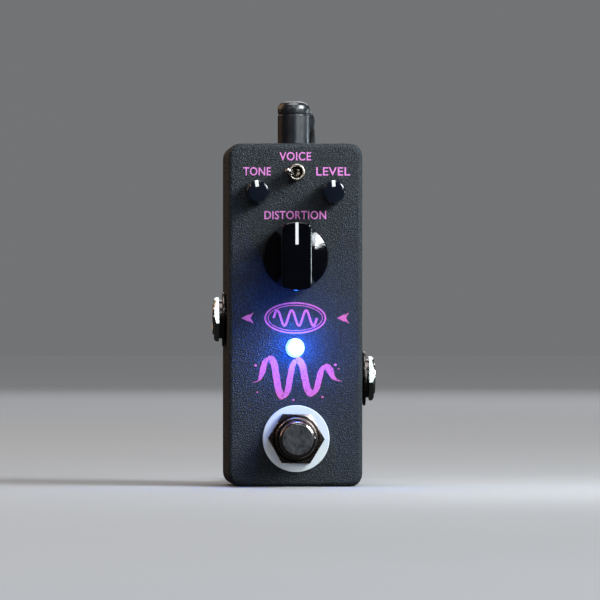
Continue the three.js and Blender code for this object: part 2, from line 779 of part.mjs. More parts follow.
piece("control_board", "circuitBoard", board(23.6, 84.6, 90.6, CONTROL_BOARD));
piece("main_board", "circuitBoard", board(23.6, 84.6, 90.6, MAIN_BOARD));
const chipFace = MAIN_BOARD - 0.1;
piece("op_amp_chip", "chip", block(-3.2, 3.2, chipFace - 3.3, chipFace, 66, 75.6));
[-10.2, 10.2].forEach((x, i) => {
  const can = rod(3.15, 0, 7, 24);
  can.translate(x, chipFace, 62);
  piece(`supply_capacitor_${i + 1}`, "capacitor", can);
});
const ribbon = block(-9, 9, CONTROL_BOARD + BOARD + 0.1, MAIN_BOARD - 0.1, 54.4, 54.9);
piece("board_ribbon", "ribbon", ribbon);

export default pedal;
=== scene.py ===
"""The looks of a compact guitar effects pedal and its power lead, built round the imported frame.

Shapes are written in millimetres and placed in the frame's coordinates: +Z runs up the face,
-Y points out of it, and +X is to the right of someone who looks at it.
"""
import json
import math

import bmesh
import bpy
from mathutils import Matrix, Vector


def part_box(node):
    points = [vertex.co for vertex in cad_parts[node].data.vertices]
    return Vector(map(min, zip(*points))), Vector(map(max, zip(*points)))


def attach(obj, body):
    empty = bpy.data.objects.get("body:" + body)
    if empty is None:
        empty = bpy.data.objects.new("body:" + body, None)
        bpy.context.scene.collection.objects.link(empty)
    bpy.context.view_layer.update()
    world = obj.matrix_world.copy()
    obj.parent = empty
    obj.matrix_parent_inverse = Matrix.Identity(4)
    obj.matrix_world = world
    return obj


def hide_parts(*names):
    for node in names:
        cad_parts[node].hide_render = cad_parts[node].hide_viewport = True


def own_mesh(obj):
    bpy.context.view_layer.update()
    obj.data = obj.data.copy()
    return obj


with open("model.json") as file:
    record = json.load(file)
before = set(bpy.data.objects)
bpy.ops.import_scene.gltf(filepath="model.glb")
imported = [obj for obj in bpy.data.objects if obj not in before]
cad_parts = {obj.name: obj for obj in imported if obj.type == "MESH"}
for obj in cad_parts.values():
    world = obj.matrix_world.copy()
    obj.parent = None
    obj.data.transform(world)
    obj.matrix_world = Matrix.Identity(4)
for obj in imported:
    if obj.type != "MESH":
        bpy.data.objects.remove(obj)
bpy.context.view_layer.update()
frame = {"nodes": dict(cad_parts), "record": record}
NODES = frame["nodes"]
MM = 0.001
PI = math.pi


def low(node, axis):
    """A CAD node's lowest coordinate along an axis, in millimetres."""
    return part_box(node)[0]["xyz".index(axis)] / MM


def high(node, axis):
    """Its highest coordinate."""
    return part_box(node)[1]["xyz".index(axis)] / MM


def middle(node, axis):
    """Halfway between the two."""
    return (low(node, axis) + high(node, axis)) / 2


FACE = low("enclosure", "y")
LENGTH = high("enclosure", "z")
SOCKET_DEPTH = middle("output_jack_nut", "y")

# ---- Placing -----------------------------------------------------------------------------

UP_IS_OUT = Matrix.Rotation(PI / 2, 4, "X")  # a shape built upwards then points out of the face


def on_face(x, z):
    """Shapes with x across, y up the face and z out of it, put at a place on the face."""
    return Matrix.Translation((x, FACE, z)) @ UP_IS_OUT


def over(node):
    """The place on the face at the middle of a CAD node."""
    return on_face(middle(node, "x"), middle(node, "z"))


def out_of_wall(side, z):
    """Shapes built upwards, turned to point out of the left (-1) or right (+1) wall."""
    place = Matrix.Translation((0, SOCKET_DEPTH, z))
    return place @ Matrix.Rotation(side * PI / 2, 4, "Z") @ UP_IS_OUT


# ---- Shapes ------------------------------------------------------------------------------


def turned(profile, sides=64, loop=False):
    """(vertices, faces) of a profile of (radius, height) turned about Z.

    A radius may be a function of the angle, and so may a height.
    """
    verts, faces, rows = [], [], []
    for radius, height in profile:
        if radius == 0:
            rows.append([len(verts)])
            verts.append((0, 0, height))
            continue
        rows.append(list(range(len(verts), len(verts) + sides)))
        for i in range(sides):
            angle = 2 * PI * i / sides
            r = radius(angle) if callable(radius) else radius
            h = height(angle) if callable(height) else height
            verts.append((r * math.cos(angle), r * math.sin(angle), h))
    pairs = list(zip(rows, rows[1:]))
    if loop:
        pairs.append((rows[-1], rows[0]))
    for a, b in pairs:
        for i in range(sides):
            j = (i + 1) % sides
            if len(a) == 1:
                faces.append((a[0], b[j], b[i]))
            elif len(b) == 1:
                faces.append((a[i], a[j], b[0]))
            else:
                faces.append((a[i], a[j], b[j], b[i]))
    return verts, faces


def rounded(points, steps=4, loop=False):
    """The profile with each corner that has a third number rounded to that radius."""
    out = []
    count = len(points)
    for i, p in enumerate(points):
        if len(p) == 2 or (not loop and i in (0, count - 1)):
            out.append(p[:2])
            continue
        before, here, after = (Vector(points[(i + k) % count][:2]) for k in (-1, 0, 1))
        u, v = before - here, after - here
        half = u.angle(v) / 2
        reach = min(p[2] / math.tan(half), 0.49 * u.length, 0.49 * v.length)
        radius = reach * math.tan(half)
        u.normalize()
        v.normalize()
        centre = here + (u + v).normalized() * radius / math.sin(half)
        start, end = here + u * reach - centre, here + v * reach - centre
        for k in range(steps + 1):
            out.append(tuple(centre + start.slerp(end, k / steps).normalized() * radius))
    return out


def ring(points, sides):
    """A closed profile that doesn't reach the axis, turned about Z."""
    return turned(rounded(points, loop=True), sides, loop=True)


def hex_nut(across_flats, bore, bottom, top):
    """A hexagonal nut with a corner at +X, whose corners are chamfered on the outer side."""

    def corner(angle):
        return across_flats / 2 / math.cos(angle % (PI / 3) - PI / 6)

    inner = across_flats / 2 - 0.12
    drop, slope = 0.06, 0.62
    lower_lead, upper_lead = 0.25, 0.3

    def chamfer(angle):
        return top - drop - (corner(angle) - across_flats / 2) * slope

    rows = [
        (bore + lower_lead, bottom), (inner, bottom), (corner, bottom), (corner, chamfer),
        (inner, top), (bore + upper_lead, top), (bore, top - upper_lead),
        (bore, bottom + lower_lead),
    ]
    return turned(rows, 96, loop=True)


def box(x0, x1, y0, y1, z0, z1):
    """A block between two limits on each axis."""
    verts = [(x, y, z) for x in (x0, x1) for y in (y0, y1) for z in (z0, z1)]
    faces = [(0, 1, 3, 2), (4, 6, 7, 5), (0, 4, 5, 1), (2, 3, 7, 6), (0, 2, 6, 4), (1, 5, 7, 3)]
    return verts, faces


def prism(outline, bottom, top):
    """A closed outline of (x, y) points raised between two heights."""
    n = len(outline)
    verts = [(x, y, bottom) for x, y in outline] + [(x, y, top) for x, y in outline]
    faces = [tuple(reversed(range(n))), tuple(range(n, 2 * n))]
    faces += [(i, (i + 1) % n, n + (i + 1) % n, n + i) for i in range(n)]
    return verts, faces


def strip(points, widths, bottom, top, closed=False):
    """A raised band along a line of (x, y) points, as wide at each as widths says."""
    n = len(points)
    verts = []
    for i, (x, y) in enumerate(points):
        a = points[(i - 1) % n if closed else max(i - 1, 0)]
        b = points[(i + 1) % n if closed else min(i + 1, n - 1)]
        along = Vector((b[0] - a[0], b[1] - a[1])).normalized()
        side = Vector((-along.y, along.x)) * widths[i] / 2
        for z in (bottom, top):
            verts.append((x + side.x, y + side.y, z))
            verts.append((x - side.x, y - side.y, z))
    faces = []
    for i in range(n if closed else n - 1):
        a, b = 4 * i, 4 * ((i + 1) % n)
        faces += [
            (a + 2, a + 3, b + 3, b + 2), (a, b, b + 1, a + 1),
            (a, a + 2, b + 2, b), (a + 1, b + 1, b + 3, a + 3),
        ]
    if not closed:
        last = 4 * (n - 1)
        faces += [(0, 1, 3, 2), (last, last + 2, last + 3, last + 1)]
    return verts, faces


def merged(*shapes):
    """Several (vertices, faces) as one."""
    verts, faces = [], []
    for v, f in shapes:
        start = len(verts)
        verts += v
        faces += [tuple(i + start for i in face) for face in f]
    return verts, faces


# ---- Pieces ------------------------------------------------------------------------------


def mesh_of(shape, matrix):
    """A mesh in metres from a shape in millimetres, with its faces pointing out."""
    mesh = bpy.data.meshes.new("shape")
    mesh.from_pydata([tuple(matrix @ Vector(v) * MM) for v in shape[0]], [], shape[1])
    bm = bmesh.new()
    bm.from_mesh(mesh)
    bmesh.ops.remove_doubles(bm, verts=bm.verts, dist=1e-7)
    bmesh.ops.recalc_face_normals(bm, faces=bm.faces)
    bm.to_mesh(mesh)
    bm.free()
    return mesh


def applied(obj):
    """Gives the object the mesh that its modifiers make, and removes them."""
    graph = bpy.context.evaluated_depsgraph_get()
    mesh = bpy.data.meshes.new_from_object(obj.evaluated_get(graph))
    obj.modifiers.clear()
    obj.data = mesh


def combined(shape, matrix, *steps):
    """A mesh made by exact booleans: each step is an operation and a shape."""
    obj = bpy.data.objects.new("combined", mesh_of(shape, matrix))
    bpy.context.scene.collection.objects.link(obj)
    tools = []
    for operation, tool_shape in steps:
        tool = bpy.data.objects.new("tool", mesh_of(tool_shape, matrix))
        bpy.context.scene.collection.objects.link(tool)
        tools.append(tool)
        modifier = obj.modifiers.new("boolean", "BOOLEAN")
        modifier.operation = operation
        modifier.solver = "EXACT"
        modifier.object = tool
    applied(obj)
    mesh = obj.data
    for used in [obj] + tools:
        bpy.data.objects.remove(used)
    return mesh


def shade(mesh, angle=32):
    """Smooth shading, with an edge left sharp where its faces meet at more than the angle."""
    mesh.polygons.foreach_set("use_smooth", [True] * len(mesh.polygons))
    mesh.set_sharp_from_angle(angle=math.radians(angle))


def piece(name, mesh, slot, material, body="chassis", stands_for=(), angle=32, weighted=True):
    """A shown piece that rides on a body and takes the place of some CAD nodes."""
    shade(mesh, angle)
    mesh.name = name
    obj = bpy.data.objects.new(name, mesh)
    bpy.context.scene.collection.objects.link(obj)
    mesh.materials.clear()
    mesh.materials.append(material)
    if weighted:
        modifier = obj.modifiers.new("weighted normals", "WEIGHTED_NORMAL")
        modifier.keep_sharp = True
        modifier.weight = 90
    if stands_for:
        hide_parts(*stands_for)
    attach(obj, body)
    return obj


def cad_copy(node, bevel=0.0):
    """A copy of a CAD node's mesh with its corners joined, so that it can be shaded smooth."""
    same_place, flat_enough, sharp_enough = 2e-6, math.radians(0.4), 0.6
    mesh = NODES[node].data.copy()
    bm = bmesh.new()
    bm.from_mesh(mesh)
    bmesh.ops.remove_doubles(bm, verts=bm.verts, dist=same_place)
    bmesh.ops.dissolve_limit(bm, angle_limit=flat_enough, verts=bm.verts, edges=bm.edges)
    if bevel:
        sharp = [e for e in bm.edges if e.is_manifold and e.calc_face_angle() > sharp_enough]
        bmesh.ops.bevel(
            bm, geom=sharp, offset=bevel * MM, segments=3, profile=0.5, affect="EDGES",
            clamp_overlap=True,
        )
    bmesh.ops.triangulate(bm, faces=[f for f in bm.faces if len(f.verts) > 4])
    bm.to_mesh(mesh)
    bm.free()
    return mesh


# ---- Materials ---------------------------------------------------------------------------


class Shader:
    """A Principled material whose colour, roughness and bump come from the object's place."""

    def __init__(self, name, rough, metallic=0.0, **sockets):
        self.material = bpy.data.materials.new(name)
        self.material.use_nodes = True
        self.tree = self.material.node_tree
        self.surface = self.tree.nodes["Principled BSDF"]
        self.coordinates = self.node("ShaderNodeTexCoord").outputs
        self.place = self.coordinates["Object"]
        self.surface.inputs["Roughness"].default_value = rough
        self.surface.inputs["Metallic"].default_value = metallic
        for socket, value in sockets.items():
            self.surface.inputs[socket.replace("_", " ")].default_value = value

    def node(self, kind, **inputs):
        """A new node, with each input set to a number or joined to an output."""
        made = self.tree.nodes.new(kind)
        for key, value in inputs.items():
            if isinstance(value, bpy.types.NodeSocket):
                self.tree.links.new(value, made.inputs[key.replace("_", " ")])
            else:
                made.inputs[key.replace("_", " ")].default_value = value
        return made

    def stretched(self, x, y, z):
        """The place with each axis scaled, for brush marks and grain."""
        made = self.node("ShaderNodeMapping", Vector=self.place)
        made.inputs["Scale"].default_value = (x, y, z)
        return made.outputs["Vector"]

    def facing(self):
        """Which way the piece faces along Y: -1 straight out of the pedal's face."""
        made = self.node("ShaderNodeSeparateXYZ", Vector=self.coordinates["Normal"])
        return made.outputs["Y"]

    def noise(self, scale, detail, place=None):
        """Smooth noise from 0 to 1, with about as many waves to the metre as the scale."""
        made = self.node(
            "ShaderNodeTexNoise", Vector=place or self.place, Scale=scale, Detail=detail
        )
        return made.outputs["Fac"]

    def cells(self, scale, place=None):
        """The distance to the nearest of some scattered points."""
        made = self.node("ShaderNodeTexVoronoi", Vector=place or self.place, Scale=scale)
        return made.outputs["Distance"]

    def ranged(self, value, start, end, low_value, high_value):
        """The value between two limits, stretched to run between two others."""
        made = self.node("ShaderNodeMapRange", Value=value)
        for key, number in zip(
            ("From Min", "From Max", "To Min", "To Max"), (start, end, low_value, high_value)
        ):
            made.inputs[key].default_value = number
        return made.outputs["Result"]

    def maths(self, operation, a, b):
        """A sum, difference or product of two numbers or outputs."""
        made = self.tree.nodes.new("ShaderNodeMath")
        made.operation = operation
        for socket, value in zip(made.inputs, (a, b)):
            if isinstance(value, bpy.types.NodeSocket):
                self.tree.links.new(value, socket)
            else:
                socket.default_value = value
        return made.outputs["Value"]

    def mixed(self, factor, a, b):
        """A colour between two others, each a tuple or an output, by the factor's output."""
        made = self.tree.nodes.new("ShaderNodeMix")
        made.data_type = "RGBA"
        factor_at, first_colour_at, second_colour_at, result_at = 0, 6, 7, 2
        self.tree.links.new(factor, made.inputs[factor_at])
        for at, value in ((first_colour_at, a), (second_colour_at, b)):
            if isinstance(value, bpy.types.NodeSocket):
                self.tree.links.new(value, made.inputs[at])
            else:
                made.inputs[at].default_value = (*value, 1.0)
        return made.outputs[result_at]

    def set(self, socket, value):
        """Joins an output to one of the surface's inputs."""
        self.tree.links.new(value, self.surface.inputs[socket])

    def bump(self, height, strength, distance):
        """Relief from a height, with its depth in metres."""
        made = self.node("ShaderNodeBump", Height=height, Strength=strength, Distance=distance)
        self.set("Normal", made.outputs["Normal"])


def moulded(
    name, colour, rough, grain=900.0, spread=0.12, strength=0.12, ripple=0.0, **sockets
):
    """Moulded plastic or rubber: a fine grain, and a little unevenness in tone and gloss.

    A ripple, in times the grain's height, breaks up the reflections of a glossy moulding.
    """
    s = Shader(name, rough, **sockets)
    tone = s.ranged(s.noise(grain * 0.14, 4.0), 0.3, 0.7, 0.0, 1.0)
    dark = tuple(c * (1 - spread) for c in colour)
    light = tuple(min(1.0, c * (1 + spread)) for c in colour)
    s.set("Base Color", s.mixed(tone, dark, light))
    gloss = s.noise(grain * 0.3, 5.0)
    s.set("Roughness", s.ranged(gloss, 0.25, 0.75, rough * 0.8, rough * 1.2))
    relief = s.noise(grain, 4.0)
    if ripple:
        waves = s.noise(1100.0, 1.0, s.stretched(0.7, 1.0, 1.8))
        relief = s.maths("ADD", relief, s.maths("MULTIPLY", waves, ripple))
    s.bump(relief, strength, 0.00004)
    return s.material


def plated(name, colour, rough, scratches=0.06, relief=0.02, spread=0.3):
    """Plated metal: faint wipe marks, and dulled patches where it is handled."""
    s = Shader(name, rough, 1.0)
    marks = s.noise(700.0, 6.0, s.stretched(1.0, 0.15, 4.0))
    patches = s.noise(160.0, 3.0)
    dull = s.ranged(patches, 0.45, 0.7, 0.0, scratches)
    wiped = s.ranged(marks, 0.3, 0.7, rough * (1 - spread), rough * (1 + spread))
    s.set("Roughness", s.maths("ADD", wiped, dull))
    dark = tuple(c * 0.86 for c in colour)
    s.set("Base Color", s.mixed(s.ranged(patches, 0.35, 0.65, 0.0, 1.0), dark, colour))
    s.bump(marks, relief, 0.00002)
    return s.material


def brushed(name, colour, rough, across):
    """Sheet or turned steel with fine parallel brush marks along one axis."""
    s = Shader(name, rough, 1.0)
    lines = s.noise(900.0, 5.0, s.stretched(*across))
    s.set("Roughness", s.ranged(lines, 0.3, 0.7, rough * 0.75, rough * 1.3))
    dark = tuple(c * 0.8 for c in colour)
    s.set("Base Color", s.mixed(s.ranged(lines, 0.35, 0.65, 0.0, 1.0), dark, colour))
    s.bump(lines, 0.12, 0.00003)
    return s.material


def pebbles(s):
    """The height of a textured powder coat: rounded grains among finer ones."""
    grains = s.ranged(s.cells(2900.0), 0.0, 0.75, 1.0, 0.0)
    fine = s.noise(5600.0, 2.0)
    return s.maths("ADD", s.maths("MULTIPLY", grains, 0.45), s.maths("MULTIPLY", fine, 0.55))


def powder_coat():
    """A blue-black textured coat, glossier on the tops of its grains, with a painted highlight on
    those tops.
    """
    s = Shader("powder coat", 0.5, Specular_IOR_Level=0.5)
    # top is the colour of a painted highlight laid on the grain peaks
    darker, lighter, top = (0.0048, 0.0096, 0.0140), (0.0068, 0.0130, 0.0186), (0.078, 0.122, 0.158)
    grain = pebbles(s)
    blotch = s.ranged(s.noise(70.0, 3.0), 0.35, 0.65, 0.0, 1.0)
    base = s.mixed(blotch, darker, lighter)
    painted_highlight_peaks = s.ranged(grain, 0.57, 0.72, 0.0, 1.0)
    s.set("Base Color", s.mixed(painted_highlight_peaks, base, top))
    s.set("Roughness", s.ranged(grain, 0.35, 0.70, 0.62, 0.34))
    s.bump(grain, 1.0, 0.00030)
    return s.material


def legend_ink(name, colour):
    """Printed ink that lies over the coat's grains, and is thin in the dips between them."""
    s = Shader(name, 0.5, Specular_IOR_Level=0.2)
    grain = pebbles(s)
    worn = s.ranged(grain, 0.22, 0.32, 0.0, 1.0)
    thin = tuple(c * 0.38 for c in colour)
    s.set("Base Color", s.mixed(worn, thin, colour))
    s.set("Roughness", s.ranged(grain, 0.35, 0.65, 0.6, 0.45))
    s.bump(grain, 0.35, 0.00015)
    return s.material


def plunger_metal():
    """Dark nickel, bright round the sides and scuffed dull on the flat top."""
    s = Shader("plunger nickel", 0.2, 1.0)
    top = s.ranged(s.facing(), -0.99, -0.93, 1.0, 0.0)
    scratches = s.noise(1300.0, 6.0, s.stretched(1.0, 1.0, 0.7))
    swirl = s.noise(500.0, 5.0, s.stretched(0.6, 1.0, 1.0))
    scuff = s.maths("MULTIPLY", s.maths("ADD", scratches, swirl), 0.5)
    matte = s.ranged(scuff, 0.35, 0.65, 0.42, 0.66)
    bright = s.ranged(s.noise(300.0, 4.0), 0.3, 0.7, 0.10, 0.2)
    difference = s.maths("SUBTRACT", matte, bright)
    s.set("Roughness", s.maths("ADD", bright, s.maths("MULTIPLY", difference, top)))
    side, dark_top, light_top = (0.42, 0.37, 0.35), (0.060, 0.064, 0.070), (0.150, 0.158, 0.170)
    top_tone = s.mixed(s.ranged(scuff, 0.35, 0.65, 0.0, 1.0), dark_top, light_top)
    s.set("Base Color", s.mixed(top, side, top_tone))
    s.bump(s.maths("MULTIPLY", scuff, top), 0.25, 0.00004)
    return s.material


def lamp():
    """A water-clear lens over a blue-white die, brightest in the middle."""
    s = Shader("lamp lens", 0.12, Emission_Strength=2.6, Transmission_Weight=0.0)
    rim, core = (0.01, 0.14, 0.75), (0.72, 0.92, 1.0)
    middle_part = s.ranged(s.facing(), -1.0, -0.35, 1.0, 0.0)
    ripple = s.ranged(s.noise(900.0, 2.0), 0.3, 0.7, 0.92, 1.0)
    s.set("Emission Color", s.mixed(s.maths("MULTIPLY", middle_part, ripple), rim, core))
    s.set("Base Color", s.mixed(ripple, (0.5, 0.75, 1.0), (0.7, 0.88, 1.0)))
    return s.material


def circuit_board():
    """Green solder mask over copper tracks."""
    s = Shader("circuit board", 0.35)
    tracks = s.ranged(s.cells(420.0, s.stretched(1.0, 1.0, 0.55)), 0.42, 0.46, 0.0, 1.0)
    s.set("Base Color", s.mixed(tracks, (0.012, 0.085, 0.040), (0.025, 0.16, 0.07)))
    s.set("Roughness", s.ranged(tracks, 0.0, 1.0, 0.34, 0.26))
    s.bump(tracks, 0.3, 0.00004)
    return s.material


def striped_ribbon():
    """Grey ribbon cable, with a ridge over each wire."""
    s = Shader("ribbon cable", 0.5)
    ridges = s.node("ShaderNodeTexWave", Vector=s.place, Scale=250.0).outputs["Fac"]
    s.set("Base Color", s.mixed(ridges, (0.38, 0.38, 0.40), (0.62, 0.62, 0.64)))
    s.bump(ridges, 0.5, 0.0001)
    return s.material


BLACK = (0.0014, 0.0016, 0.0028)
MATERIALS = {
    "powder_coat": powder_coat(),
    "legend_ink": legend_ink("legend ink", (0.82, 0.27, 0.72)),
    "plate_steel": brushed("blackened plate", (0.10, 0.10, 0.11), 0.42, (12.0, 1.0, 0.25)),
    "screw_steel": brushed("zinc plated screw", (0.55, 0.55, 0.56), 0.3, (1.0, 1.0, 3.0)),
    "pad_rubber": moulded("pad rubber", (0.022, 0.022, 0.023), 0.78, 1300.0, 0.2, 0.55),
    "knob_plastic": moulded(
        "gloss knob plastic", BLACK, 0.09, 1400.0, 0.15, 0.03, 260.0, Specular_IOR_Level=0.42
    ),
    "knob_mark": moulded("pointer paint", (0.84, 0.84, 0.82), 0.45, 1800.0, 0.04, 0.15),
    "inner_plastic": moulded("inner plastic", (0.018, 0.018, 0.02), 0.5, 1100.0),
    "bright_nickel": plated("bright nickel", (0.66, 0.64, 0.60), 0.11),
    "black_nickel": plated("dark nickel", (0.29, 0.245, 0.225), 0.24, 0.12),
    "nylon": moulded("white nylon", (0.72, 0.78, 0.80), 0.48, 800.0, 0.03, 0.15),
    "led_lens": lamp(),
    "contact_brass": brushed("spring brass", (0.72, 0.52, 0.22), 0.28, (1.0, 3.0, 1.0)),
    "circuit_board": circuit_board(),
    "chip": moulded("chip epoxy", (0.010, 0.010, 0.011), 0.5, 2200.0),
    "capacitor_sleeve": moulded("capacitor sleeve", (0.015, 0.022, 0.045), 0.3, 1200.0),
    "ribbon": striped_ribbon(),
    "plug_plastic": moulded(
        "satin plug plastic", (0.006, 0.009, 0.013), 0.33, 1300.0, 0.15, 0.14,
        Specular_IOR_Level=1.0
    ),
    "cord_jacket": moulded("cord jacket", (0.010, 0.010, 0.011), 0.46, 1500.0, 0.15, 0.2),
}
PLUNGER = plunger_metal()
SATIN_NICKEL = plated("satin nickel", (0.78, 0.72, 0.62), 0.34)
NUT_NICKEL = plated("nut nickel", (0.50, 0.53, 0.50), 0.22, 0.02, 0.002, 0.05)
# The jack washers' nickel is made dark as painted shade, the shade between each nut and the wall.
SHADED_WASHER_NICKEL = plated("washer nickel darkened as painted shade", (0.11, 0.095, 0.09), 0.24, 0.05, 0.01, 0.2)
GRAPHIC_INK = legend_ink("graphic ink", (0.70, 0.15, 0.34))
BLUISH_KNOB = moulded(
    "bluish knob plastic", (0.0050, 0.0080, 0.0145), 0.10, 1400.0, 0.15, 0.03,
    Specular_IOR_Level=0.9
)
RECORD_SLOTS = {row["node"]: row["material_slot"] for row in frame["record"]["subparts"]}

# Every CAD node gets the material of its slot, which shows on the nodes that aren't replaced.
for node_name, node in NODES.items():
    finish = MATERIALS[RECORD_SLOTS[node_name]]
    if node.material_slots:
        node.material_slots[0].material = finish
    else:
        node.data.materials.append(finish)


def detail(node, mesh, body="chassis", material=None, **options):
    """A piece that stands for one CAD node, with the finish of that node's slot unless another is
    given.
    """
    slot = RECORD_SLOTS[node]
    return piece(
        node + "_detail", mesh, slot, material or MATERIALS[slot], body, (node,), **options
    )


# ---- Enclosure, base plate, screws and pad -----------------------------------------------

detail("enclosure", cad_copy("enclosure"), angle=34)
detail("base_plate", cad_copy("base_plate"), angle=34)
for number in range(1, 5):
    detail(f"base_screw_{number}", cad_copy(f"base_screw_{number}"), angle=30)
detail("rubber_pad", cad_copy("rubber_pad", 0.35), angle=40)

# ---- Knobs -------------------------------------------------------------------------------

BIG_HEIGHT = 15.5
KNOB_GAP = 0.7  # from the face to a knob's foot


def softly_bound(radius, half_width, hardness=26.0):
    """A circle cut by two straight sides, with its corners eased, as radius by angle."""

    def bound(angle):
        across = half_width / max(abs(math.cos(angle)), 1e-6)
        return (radius**-hardness + across**-hardness) ** (-1 / hardness)

    return bound


def big_knob():
    """A round skirt, and a tapered grip bar across it whose ends follow the skirt's circle."""
    height, foot = BIG_HEIGHT, 4.6
    top_half, foot_half = 3.90, 5.4
    bar_radius, foot_radius, flare = 9.25, 8.9, 0.3
    ease, steps = 0.5, 5
    rows = [(0, foot)]
    for h in (foot, 6.0, 7.5, 9.5, 11.5, 13.5, height - ease):
        share = (h - foot) / (height - foot)
        half = foot_half + (top_half - foot_half) * share**0.9
        reach = min(bar_radius, foot_radius + (h - foot) * flare)
        rows.append((softly_bound(reach, half), h))
    for k in range(1, steps + 1):
        angle = k / steps * PI / 2
        inset = ease * (1 - math.cos(angle))
        bound = softly_bound(bar_radius - inset, top_half - inset)
        rows.append((bound, height - ease + ease * math.sin(angle)))
    rows.append((0, height))
    bar = turned(rows, 180)
    skirt_radius = 8.95
    skirt_profile = [
        (0, 6.7), (4.9, 6.65, 0.8), (8.7, 4.25, 0.3), (skirt_radius, 3.6, 0.2),
        (skirt_radius, KNOB_GAP, 0.15), (0, KNOB_GAP),
    ]
    skirt = turned(rounded(skirt_profile), 128)
    wide, wide_top, bore, bore_top = 7.3, 4.3, 3.1, 11.7
    hollow_profile = [
        (0, 0), (wide, 0), (wide, wide_top), (bore, wide_top), (bore, bore_top), (0, bore_top),
    ]
    hollow = turned(hollow_profile, 48)
    place = over("distortion_knob")
    return combined(skirt, place, ("UNION", bar), ("DIFFERENCE", hollow))


detail("distortion_knob", big_knob(), "distortion_control", angle=24)
MARK_HALF, MARK_FOOT, MARK_END = 0.41, 3.15, 9.05
big_mark = mesh_of(
    box(-MARK_HALF, MARK_HALF, MARK_FOOT, MARK_END, BIG_HEIGHT - 0.08, BIG_HEIGHT + 0.03),
    over("distortion_knob"),
)
piece(
    "distortion_knob_mark", big_mark, "knob_mark", MATERIALS["knob_mark"],
    "distortion_control",
)


SMALL_HEIGHT = 7.96


def small_knob(proud=0.0):
    """A plain round knob, or the same standing slightly proud of it, to cut the mark from."""
    foot_radius, bore_radius, bore_top = 3.38, 2.32, 6.5
    outer = [
        (2.95, SMALL_HEIGHT, 0.6), (3.15, 3.0, 2.0), (foot_radius, 1.2, 0.4),
        (foot_radius, KNOB_GAP, 0.12),
    ]
    grown = [(r + proud, h + proud, *ease) for r, h, *ease in outer]
    bore = [(bore_radius, KNOB_GAP + proud, 0.1), (bore_radius, bore_top), (0, bore_top)]
    return turned(rounded([(0, SMALL_HEIGHT + proud), *grown, *bore]), 64)


INK_PROUD = 0.03  # how far a small knob's mark stands over it
for control, turn in (("tone", 9), ("level", 4)):
    node = f"{control}_knob"
    place = over(node)
    detail(node, mesh_of(small_knob(), place), f"{control}_control", BLUISH_KNOB, angle=30)
    turned_place = place @ Matrix.Rotation(math.radians(turn), 4, "Z")
    line = box(-0.46, 0.46, 1.25, 3.6, 6.9, 9.0)
    mark = combined(small_knob(INK_PROUD), turned_place, ("INTERSECT", line))
    piece(
        f"{control}_knob_mark", mark, "knob_mark", MATERIALS["knob_mark"],
        f"{control}_control",
    )

# ---- Toggle switch -----------------------------------------------------------------------

LEVER_TILT = math.radians(-18)
PIVOT = 1.1  # how far the lever's pivot is out of the face


def threaded(low_end, high_end, radius, pitch, depth):
    """Profile points of a screw thread's ridges, from one height to another."""
    count = round((high_end - low_end) / pitch)
    step = (high_end - low_end) / count
    points = []
    for i in range(count):
        start = low_end + (high_end - low_end) * i / count
        points += [
            (radius - depth, start), (radius, start + step * 0.4),
            (radius, start + step * 0.6), (radius - depth, start + step * 0.98),
        ]
    return points


toggle_sleeve = ring(
    [
        (1.55, -3.2), (3.0, -3.2), (3.0, -2.5), (2.25, -2.5),
        *threaded(-2.4, 2.4, 2.25, 0.6, 0.16),
        (2.25, 2.5), (2.25, 3.5, 0.3), (1.68, 3.5, 0.24), (1.55, 1.1),
    ],
    48,
)
detail(
    "toggle_bushing", mesh_of(toggle_sleeve, over("toggle_bushing")), material=SATIN_NICKEL,
    angle=40,
)
lever_shape = turned(
    rounded(
        [
            (0, -2), (0.5, -2), (0.6, -1.2, 0.3), (1.2, -0.7, 0.5), (1.38, 0, 1.2),
            (1.2, 0.7, 0.6), (0.72, 1.2, 0.4), (0.78, 4, 2), (0.98, 7.5, 1.2),
            (0.84, 8.25, 0.4), (0.45, 8.6, 0.3), (0, 8.6),
        ]
    ),
    40,
)
toggle_x, toggle_z = middle("toggle_bushing", "x"), middle("toggle_bushing", "z")
lever_place = (
    Matrix.Translation((toggle_x, FACE - PIVOT, toggle_z))
    @ Matrix.Rotation(LEVER_TILT, 4, "Z")
    @ UP_IS_OUT
)
detail("toggle_lever", mesh_of(lever_shape, lever_place), "toggle_control", angle=50)

# ---- Lamp --------------------------------------------------------------------------------

LENS_RADIUS, FLANGE_RADIUS = 2.45, 2.85
DOME_FOOT, DOME_HEIGHT, DOME_STEPS = -0.35, 2.25, 12
flange_back = FACE - high("led_lens", "y")
flange_front = flange_back + 1
lens_profile = [
    (0, flange_back), (FLANGE_RADIUS, flange_back, 0.1), (FLANGE_RADIUS, flange_front, 0.1),
    (LENS_RADIUS, flange_front), (LENS_RADIUS, DOME_FOOT),
]
for k in range(1, DOME_STEPS):
    angle = k / DOME_STEPS * PI / 2
    radius, height = LENS_RADIUS * math.cos(angle), DOME_FOOT + DOME_HEIGHT * math.sin(angle)
    lens_profile.append((radius, height))
lens_profile.append((0, DOME_FOOT + DOME_HEIGHT))
detail("led_lens", mesh_of(turned(rounded(lens_profile), 64), over("led_lens")), angle=40)

# ---- Footswitch --------------------------------------------------------------------------

